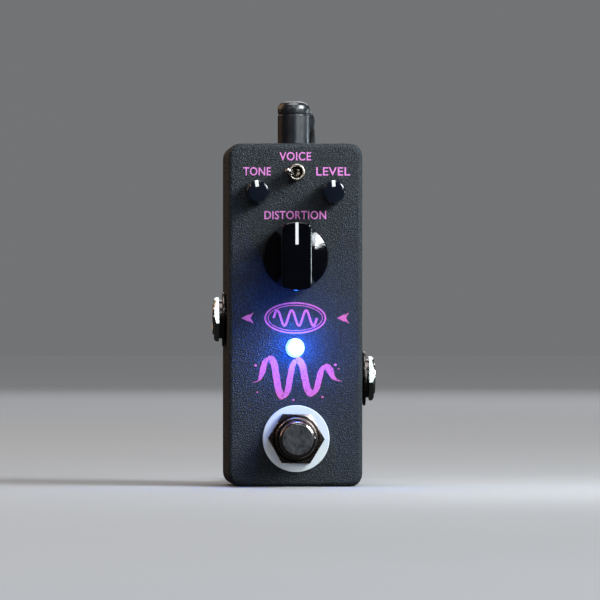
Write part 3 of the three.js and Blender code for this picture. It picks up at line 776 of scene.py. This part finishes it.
switch_place = over("footswitch_bushing")
washer = ring(
    [(6.15, 0.1, 0.1), (9.1, 0.1, 0.15), (9.1, 0.8, 0.25), (6.15, 0.8, 0.2)], 96
)
detail("footswitch_washer", mesh_of(washer, switch_place))
nut = hex_nut(across_flats=13.35, bore=6.07, bottom=0.9, top=3.6)
nut_turn = Matrix.Rotation(math.radians(-1), 4, "Z")
detail("footswitch_nut", mesh_of(nut, switch_place @ nut_turn), angle=28)
sleeve = ring(
    [
        (5.07, -4.6), (5.95, -4.6), *threaded(-4.4, 4.2, 5.95, 0.75, 0.24),
        (5.72, 4.3), (5.72, 4.62, 0.1), (5.5, 4.7, 0.1), (5.2, 4.7, 0.12), (5.07, 4.5),
    ],
    96,
)
detail("footswitch_bushing", mesh_of(sleeve, switch_place), angle=40)
SPRING_FOOT, SPRING_TOP, TRAVEL = -13.6, -2.5, 3.0
plunger_profile = [
    (0, 17), (4.15, 17, 0.4), (4.68, 16.66, 0.5), (4.95, 15.9, 0.9), (4.95, SPRING_TOP, 0.2),
    (1.8, SPRING_TOP), (1.8, -9.4, 0.3), (0, -9.4),
]
plunger = turned(rounded(plunger_profile, 6), 96)
detail(
    "footswitch_plunger", mesh_of(plunger, switch_place), "footswitch_button", PLUNGER,
    angle=40,
)


def return_spring(well, seat, radius=4.1, wire=0.4, turns=5, steps=24, sides=10):
    """A coil of round wire between the well's bottom and the plunger's skirt."""
    verts, faces = [], []
    count = turns * steps
    for i in range(count + 1):
        angle = 2 * PI * i / steps
        height = well + (seat - well) * i / count
        for k in range(sides):
            around = 2 * PI * k / sides
            r = radius + wire * math.cos(around)
            h = height + wire * math.sin(around)
            verts.append((r * math.cos(angle), r * math.sin(angle), h))
    for i in range(count):
        for k in range(sides):
            a, b = i * sides + k, i * sides + (k + 1) % sides
            faces.append((a, b, b + sides, a + sides))
    faces += [tuple(range(sides))[::-1], tuple(range(count * sides, (count + 1) * sides))]
    return verts, faces


coil_spring = return_spring(SPRING_FOOT + 0.5, SPRING_TOP - 0.5)
spring = detail("footswitch_spring", mesh_of(coil_spring, switch_place), angle=60)
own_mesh(spring)

# ---- Jack sockets ------------------------------------------------------------------------

REACH = 22.3  # from the pedal's middle to a bush's end
BUSH_BORE, BUSH_RADIUS = 3.3, 4.5
WASHER_BORE, WASHER_RADIUS, SHOULDER_RADIUS = 4.6, 7.5, 5.3


def nearest(node):
    """How far from the pedal's middle a CAD node on a side wall starts."""
    return min(abs(low(node, "x")), abs(high(node, "x")))


for jack, side in (("output", -1), ("input", 1)):
    place = out_of_wall(side, middle(f"{jack}_jack_nut", "z"))
    seat, inside = nearest(f"{jack}_jack_washer"), nearest(f"{jack}_jack_bush")
    bush = ring(
        [
            (BUSH_BORE, inside), (BUSH_RADIUS, inside),
            *threaded(inside + 0.1, REACH - 0.5, BUSH_RADIUS, 0.75, 0.22),
            (4.3, REACH - 0.4), (4.1, REACH, 0.15), (3.6, REACH, 0.2),
            (BUSH_BORE, REACH - 0.3, 0.2),
        ],
        64,
    )
    detail(f"{jack}_jack_bush", mesh_of(bush, place), angle=40)
    rim, shoulder, nut_top = seat + 0.65, seat + 1.55, seat + 2.9
    flat = ring(
        [
            (WASHER_BORE, seat, 0.05), (WASHER_RADIUS, seat, 0.12), (WASHER_RADIUS, rim, 0.2),
            (SHOULDER_RADIUS, rim, 0.1), (SHOULDER_RADIUS, shoulder), (WASHER_BORE, shoulder),
        ],
        64,
    )
    detail(f"{jack}_jack_washer", mesh_of(flat, place), material=SHADED_WASHER_NICKEL)
    nut = hex_nut(across_flats=11.2, bore=WASHER_BORE, bottom=shoulder, top=nut_top)
    nut_turn = Matrix.Rotation(math.radians(side * 10), 4, "Z")
    detail(f"{jack}_jack_nut", mesh_of(nut, place @ nut_turn), material=NUT_NICKEL, angle=28)

# ---- Power plug and lead -----------------------------------------------------------------

PLUG_TURN = math.radians(-14.2)
ARM_HEIGHT = 6.7
plug_place = Matrix.Translation((0, SOCKET_DEPTH, LENGTH)) @ Matrix.Rotation(PLUG_TURN, 4, "Z")
BACKWARDS = Matrix.Translation((0, 0, ARM_HEIGHT)) @ Matrix.Rotation(-PI / 2, 4, "X")


def moved(shape, matrix):
    """The shape put elsewhere."""
    return [tuple(matrix @ Vector(v)) for v in shape[0]], shape[1]


plug_post = turned(
    rounded(
        [
            (0, 11.9), (2.4, 11.9, 1.0), (3.5, 11.5, 0.9), (4.15, 10.8, 0.8), (4.4, 9.9, 0.8),
            (4.4, 8.7, 0.1), (4.15, 8.5, 0.1), (4.15, 8.2, 0.1), (4.4, 8.0, 0.1),
            (4.4, 0.25, 0.2), (0, 0.25),
        ]
    ),
    96,
)
plug_arm = moved(turned(rounded([(0, 0), (4.1, 0), (4.1, 9, 0.6), (0, 9)]), 64), BACKWARDS)
detail("dc_plug_housing", combined(plug_post, plug_place, ("UNION", plug_arm)), angle=30)


def ribbed_relief(start, end, wide, narrow, ribs=4):
    """A tapered strain relief with a groove after each rib."""
    groove = 0.42
    points = [(0, start), (wide, start, 0.2)]
    step = (end - start) / ribs
    for i in range(ribs):
        near = start + step * i
        radius = wide + (narrow - wide) * (i + 0.5) / ribs
        after = max(narrow + 0.02, radius - 0.28)
        points += [
            (radius, near + step * 0.62, 0.15), (radius - groove, near + step * 0.7, 0.08),
            (radius - groove, near + step * 0.92, 0.08), (after, near + step, 0.1),
        ]
    points[-1] = (narrow, end, 0.15)
    return turned(rounded(points + [(0, end)]), 48)


relief = moved(ribbed_relief(9.1, 15.9, 3.0, 1.9), BACKWARDS)
detail("dc_plug_strain_relief", mesh_of(relief, plug_place), angle=40)

CORD_RADIUS = 1.4
DROP = [
    (3.92, 15.01, 100.2), (4.34, 16.65, 100.02), (4.75, 18.3, 99.3), (5.1, 19.65, 97.9),
    (5.28, 20.5, 96.1), (5.38, 20.9, 94), (5.42, 21.1, 88), (5.4, 21.3, 76), (5.3, 21.5, 62),
    (5.2, 21.8, 48), (5.2, 22.1, 34), (5.3, 22.4, 22), (5.8, 22.9, 13.5), (6.9, 23.8, 8.6),
    (8.2, 25.1, 4.7), (9.5, 26.2, 2.6), (10.7, 27.15, 1.6),
]
TAIL = [
    (17.8, 45, 4.1), (17.8, 49, 3.2), (17.75, 52.2, 2.2), (17.6, 55, 1.6), (17, 58.2, 1.5),
    (15.6, 61.4, 1.9), (13.4, 64, 3), (11.8, 65.1, 3.9), (10.3, 65.5, 4.45),
]
COIL_X, COIL_Y = 0.8, 41.0
COIL_OUT, COIL_IN = 17.0, 11.4


def coil():
    """Two turns inwards on the floor, then nearly two outwards on top of them."""
    points = []
    floor_height = CORD_RADIUS + 0.03
    rise = 2 * CORD_RADIUS
    first, inmost, lifted, last = -50, 670, 760, 1440
    for degrees in range(first, last + 1, 10):
        if degrees <= inmost:
            radius = COIL_OUT + (COIL_IN - COIL_OUT) * (degrees - first) / (inmost - first)
            height = floor_height
        elif degrees <= lifted:
            share = (degrees - inmost) / (lifted - inmost)
            radius = COIL_IN
            height = floor_height + rise * (1 - math.cos(share * PI)) / 2
        else:
            radius = COIL_IN + (COIL_OUT - COIL_IN) * (degrees - lifted) / (last - lifted)
            height = floor_height + rise
        angle = math.radians(degrees)
        points.append(
            (COIL_X + radius * math.cos(angle), COIL_Y + radius * math.sin(angle), height)
        )
    return points


def through(points, spacing=1.4):
    """Points close together on a smooth line through the given ones.

    The line is a Catmull-Rom spline with centripetal knots t0 to t3.
    """
    ends = [Vector(p) for p in points]
    ends = [2 * ends[0] - ends[1]] + ends + [2 * ends[-1] - ends[-2]]
    line = []
    for a, b, c, d in zip(ends, ends[1:], ends[2:], ends[3:]):
        t0, t1 = 0.0, (b - a).length ** 0.5
        t2 = t1 + (c - b).length ** 0.5
        t3 = t2 + (d - c).length ** 0.5
        steps = max(1, round((c - b).length / spacing))
        for k in range(steps):
            t = t1 + (t2 - t1) * k / steps
            ab = a.lerp(b, (t - t0) / (t1 - t0))
            bc = b.lerp(c, (t - t1) / (t2 - t1))
            cd = c.lerp(d, (t - t2) / (t3 - t2))
            abc = ab.lerp(bc, (t - t0) / (t2 - t0))
            bcd = bc.lerp(cd, (t - t1) / (t3 - t1))
            line.append(abc.lerp(bcd, (t - t1) / (t2 - t1)))
    return line + [ends[-2]]


cord_line = through(DROP + coil() + TAIL)
curve = bpy.data.curves.new("dc_cord", "CURVE")
curve.dimensions = "3D"
curve.bevel_depth = CORD_RADIUS * MM
curve.bevel_resolution = 5
curve.use_fill_caps = True
spline = curve.splines.new("POLY")
spline.points.add(len(cord_line) - 1)
for point, p in zip(spline.points, cord_line):
    point.co = (*(p * MM), 1.0)
spline.use_smooth = True
curve.materials.append(MATERIALS["cord_jacket"])
dc_cord = bpy.data.objects.new("dc_cord", curve)
bpy.context.scene.collection.objects.link(dc_cord)
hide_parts("dc_cord_drop", "dc_cord_coil", "dc_cord_tail")
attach(dc_cord, "chassis")

supply_start = Vector(
    (
        high("supply_plug_body", "x"),
        middle("supply_plug_body", "y"),
        middle("supply_plug_body", "z"),
    )
)
supply_place = Matrix.Translation(supply_start) @ Matrix.Rotation(-PI / 2, 4, "Y")
GRIP_RADIUS, GROOVE_RADIUS = 4.4, 4.15
grips = []
for i in range(5):
    foot = 1.9 + i * 1.1
    grips += [
        (GRIP_RADIUS, foot, 0.1), (GROOVE_RADIUS, foot + 0.2, 0.1),
        (GROOVE_RADIUS, foot + 0.5, 0.1), (GRIP_RADIUS, foot + 0.7, 0.1),
    ]
supply_profile = [
    (0, 0), (3.6, 0, 0.3), (GRIP_RADIUS, 0.9, 0.5), *grips, (GRIP_RADIUS, 11.6, 0.25),
    (4.0, 12, 0.2), (0, 12),
]
supply_body = turned(rounded(supply_profile), 64)
supply_plug = detail("supply_plug_body", mesh_of(supply_body, supply_place), angle=32)


def barrel(start, end):
    """A hollow contact barrel with a stepped mouth."""
    bore, outer, step = 1.15, 2.75, end - 0.15
    points = [
        (bore, start), (outer, start, 0.05), (outer, end, 0.2), (2.2, end, 0.1),
        (1.9, step, 0.1), (bore, step, 0.1),
    ]
    return ring(points, 48)


supply_barrel = detail(
    "supply_plug_barrel", mesh_of(barrel(start=12.1, end=21.5), supply_place), angle=40
)
tail_relief = moved(ribbed_relief(0.1, 5.9, 2.9, 1.9), Matrix.Rotation(PI, 4, "X"))
supply_relief = detail(
    "supply_plug_strain_relief", mesh_of(tail_relief, supply_place), angle=40
)
detail("dc_plug_barrel", mesh_of(barrel(start=-9.3, end=0.15), plug_place), angle=40)

# ---- Printed legends ---------------------------------------------------------------------

INK_LOW, INK_HIGH = -0.02, 0.035  # its lower and upper side, over the face


def legend(name, shape, place, ink=GRAPHIC_INK):
    """Raised ink on the face."""
    piece(name, mesh_of(shape, place), "legend_ink", ink, angle=30, weighted=False)


LABEL_HEIGHT, BOLDNESS = 2.3, 0.013


def word(text, width):
    """A control's name in Blender's own font, made bold and fitted to a size."""
    data = bpy.data.curves.new("word", "FONT")
    data.body = text
    data.offset = BOLDNESS
    data.extrude = 0.01
    data.space_character = 1.06
    data.resolution_u = 5
    obj = bpy.data.objects.new("word", data)
    bpy.context.scene.collection.objects.link(obj)
    graph = bpy.context.evaluated_depsgraph_get()
    mesh = bpy.data.meshes.new_from_object(obj.evaluated_get(graph))
    bpy.data.objects.remove(obj)
    verts = [v.co.copy() for v in mesh.vertices]
    lows = [min(v[k] for v in verts) for k in range(3)]
    highs = [max(v[k] for v in verts) for k in range(3)]
    sizes = (width, LABEL_HEIGHT, INK_HIGH - INK_LOW)
    fitted = []
    for v in verts:
        shares = [(v[k] - lows[k]) / (highs[k] - lows[k]) for k in range(3)]
        fitted.append(
            (
                (shares[0] - 0.5) * sizes[0],
                (shares[1] - 0.5) * sizes[1],
                INK_LOW + shares[2] * sizes[2],
            )
        )
    return fitted, [tuple(p.vertices) for p in mesh.polygons]


for text, x, z, width in (
    ("VOICE", 0.0, 89.9, 8.6),
    ("TONE", -10.4, 85.8, 7.5),
    ("LEVEL", 10.3, 85.8, 9.2),
    ("DISTORTION", 0.0, 73.9, 16.8),
):
    ink = MATERIALS["legend_ink"]
    legend(f"legend_{text.lower()}", word(text, width), on_face(x, z), ink)

MARK_LEVEL = 45.9  # how far up the face the emblem and the arrows are
ARROW_HALF = [(0.55, 1.12), (0.25, 0.70), (1.70, 1.55)]
ARROW = [(-1.70, 0), *ARROW_HALF, (0.80, 0), *[(x, -y) for x, y in ARROW_HALF[::-1]]]
for name, x in (("left", -13.0), ("right", 13.0)):
    arrow = prism(ARROW[::-1], INK_LOW, INK_HIGH)
    legend(f"legend_arrow_{name}", arrow, on_face(x, MARK_LEVEL))


def emblem():
    """A sine wave inside two plain ovals."""
    half_width, half_height, n = 8.2, 4.1, 96
    angles = [2 * PI * i / n for i in range(n)]
    outer = [(half_width * math.cos(a), half_height * math.sin(a)) for a in angles]
    inner = [(x * 0.9, y * 0.84) for x, y in outer]
    wave_length, swing, waves, steps = 11.8, 2.1, 3, 80
    wave = []
    for i in range(steps + 1):
        x = -wave_length / 2 + wave_length * i / steps
        wave.append((x, swing * math.sin(i / steps * 2 * waves * PI)))
    return merged(
        strip(outer, [0.42] * n, INK_LOW, INK_HIGH, closed=True),
        strip(inner, [0.2] * n, INK_LOW, INK_HIGH, closed=True),
        strip(wave, [0.6] * len(wave), INK_LOW, INK_HIGH),
    )


legend("legend_emblem", emblem(), on_face(0.0, MARK_LEVEL))


def brushed_wave():
    """A clipped wave drawn as if with a flat brush: thick and thin strokes with loose ends."""
    nib_angle, thinnest, thin, swell = math.radians(28), 0.12, 0.75, 1.15
    knots = [
        (-12.2, -1.2), (-10.6, -0.8), (-9.5, 1.6), (-8.6, 4.6), (-7.5, 5.4), (-6.4, 4.2),
        (-5.7, 0.6), (-4.9, -3.6), (-3.9, -5.2), (-2.8, -4.0), (-1.9, 0.2), (-1.0, 3.9),
        (0.1, 5.0), (1.3, 3.7), (2.1, 0.0), (3.0, -3.4), (4.1, -4.4), (5.2, -3.1),
        (6.0, -0.2), (6.8, 2.4), (7.8, 3.2), (8.9, 2.1), (9.8, 0.2), (11.0, -0.6), (12.3, -0.9),
    ]
    line = through([(x, y, 0.0) for x, y in knots], 0.22)
    widths = []
    for i, p in enumerate(line):
        ahead, behind = line[min(i + 2, len(line) - 1)], line[max(i - 2, 0)]
        heading = math.atan2(ahead.y - behind.y, ahead.x - behind.x)
        nib = abs(math.sin(heading - nib_angle))
        share = i / (len(line) - 1)
        taper = min(1.0, share * 14, (1 - share) * 12)
        ragged = 0.07 * math.sin(i * 1.7) + 0.05 * math.sin(i * 0.61 + 1.0)
        widths.append(max(thinnest, (thin + swell * nib + ragged) * taper))
    shapes = [strip([(p.x, p.y) for p in line], widths, INK_LOW, INK_HIGH)]
    specks = (
        (-11.3, 3.4, 0.32), (10.4, 3.6, 0.36), (11.3, 2.5, 0.2), (-1.0, -6.0, 0.26),
        (6.9, -5.2, 0.3), (-10.9, -3.9, 0.22),
    )
    for x, y, r in specks:
        angles = [a * PI / 6 for a in range(12)]
        drop = [(x + r * math.cos(a) * 1.25, y + r * math.sin(a)) for a in angles]
        shapes.append(prism(drop, INK_LOW, INK_HIGH))
    return merged(*shapes)


legend("legend_wave", brushed_wave(), on_face(0.5, 29.6))

# ---- Stage, lights and camera ------------------------------------------------------------


def floor():
    """A wide, plain, pale grey floor, which doesn't show in the gloss of the object."""
    s = Shader("floor", 0.7, Specular_IOR_Level=0.0)
    tone = s.ranged(s.noise(3.0, 4.0), 0.3, 0.7, 0.0, 1.0)
    s.set("Base Color", s.mixed(tone, (0.390, 0.395, 0.405), (0.405, 0.410, 0.420)))
    mesh = bpy.data.meshes.new("floor")
    reach = 12.0
    corners = [(-reach, -reach, 0), (reach, -reach, 0), (reach, reach, 0), (-reach, reach, 0)]
    mesh.from_pydata(corners, [], [(0, 1, 2, 3)])
    mesh.materials.append(s.material)
    obj = bpy.data.objects.new("floor", mesh)
    obj.visible_glossy = False
    bpy.context.scene.collection.objects.link(obj)


def softbox(name, place, aim, size, watts, colour):
    """A rectangular light in metres, turned towards a point, that the camera doesn't see."""
    data = bpy.data.lights.new(name, "AREA")
    data.shape = "RECTANGLE"
    data.size, data.size_y = size
    data.energy = watts
    data.color = colour
    obj = bpy.data.objects.new(name, data)
    obj.location = place
    obj.rotation_euler = (Vector(aim) - Vector(place)).to_track_quat("-Z", "Y").to_euler()
    obj.visible_camera = False
    bpy.context.scene.collection.objects.link(obj)


floor()
CENTRE = (0.0, 0.0, 0.05)
softbox("key", (1.40, -0.88, 1.14), CENTRE, (0.84, 0.84), 30.4, (0.90, 0.96, 1.0))
softbox("grazing", (0.15, -0.075, 0.17), CENTRE, (0.06, 0.06), 0.30, (0.88, 0.96, 1.0))
softbox("front right", (1.10, -2.00, 0.72), CENTRE, (0.70, 0.70), 15.0, (0.88, 0.95, 1.0))
softbox("front top", (0.0, -1.20, 1.10), CENTRE, (0.60, 0.10), 2.0, (0.86, 0.95, 1.0))
softbox("right edge", (0.63, 0.36, 0.07), (0, 0, 0.065), (0.22, 0.06), 0.70, (0.80, 0.93, 1.0))
softbox("left rim", (-0.90, 0.60, 0.60), CENTRE, (1.0, 0.8), 2.8, (1.0, 0.60, 0.36))
softbox("left glint", (-0.35, -0.60, 0.35), CENTRE, (0.06, 0.06), 0.25, (1.0, 0.70, 0.68))
softbox("back", (0.50, 2.20, 1.40), CENTRE, (1.6, 1.2), 14.0, (0.95, 0.97, 1.0))
overhead = bpy.data.lights.new("overhead", "SUN")
overhead.energy = 1.35
overhead.angle = math.radians(36)
bpy.context.scene.collection.objects.link(bpy.data.objects.new("overhead", overhead))

# The lamp's blue halo on the face comes from a small light just in front of the lens.
GLOW_OUT = 5.0
lamp_light = bpy.data.lights.new("lamp glow", "POINT")
lamp_light.energy = 0.030
lamp_light.color = (0.0, 0.13, 1.0)
lamp_light.shadow_soft_size = 0.001
glow = bpy.data.objects.new("lamp glow", lamp_light)
lamp_x, lamp_z = middle("led_lens", "x"), middle("led_lens", "z")
glow.location = (lamp_x * MM, (FACE - GLOW_OUT) * MM, lamp_z * MM)
glow.visible_camera = False
bpy.context.scene.collection.objects.link(glow)


def studio():
    """A pale room that is seen as a backdrop, and lights the object only faintly."""
    seen, shining = 0.185, 0.025
    world = bpy.data.worlds.new("studio")
    world.use_nodes = True
    tree = world.node_tree
    backdrop = tree.nodes["Background"]
    backdrop.inputs["Color"].default_value = (0.80, 0.82, 0.85, 1.0)
    path = tree.nodes.new("ShaderNodeLightPath")
    strength = tree.nodes.new("ShaderNodeMath")
    strength.operation = "MULTIPLY_ADD"
    strength.inputs[1].default_value = seen
    strength.inputs[2].default_value = shining
    tree.links.new(path.outputs["Is Camera Ray"], strength.inputs[0])
    tree.links.new(strength.outputs["Value"], backdrop.inputs["Strength"])
    bpy.context.scene.world = world


studio()
bpy.context.scene.view_settings.view_transform = "Standard"

camera = bpy.data.cameras.new("camera")
camera.lens = 331
camera.sensor_width = 36
camera.clip_start = 0.05
camera_object = bpy.data.objects.new("camera", camera)
eye, target = Vector((-0.0445, -1.5155, 0.040)), Vector((0.00128, -0.0155, 0.0508))
camera_object.location = eye
camera_object.rotation_euler = (target - eye).to_track_quat("-Z", "Y").to_euler()
bpy.context.scene.collection.objects.link(camera_object)
bpy.context.scene.camera = camera_object
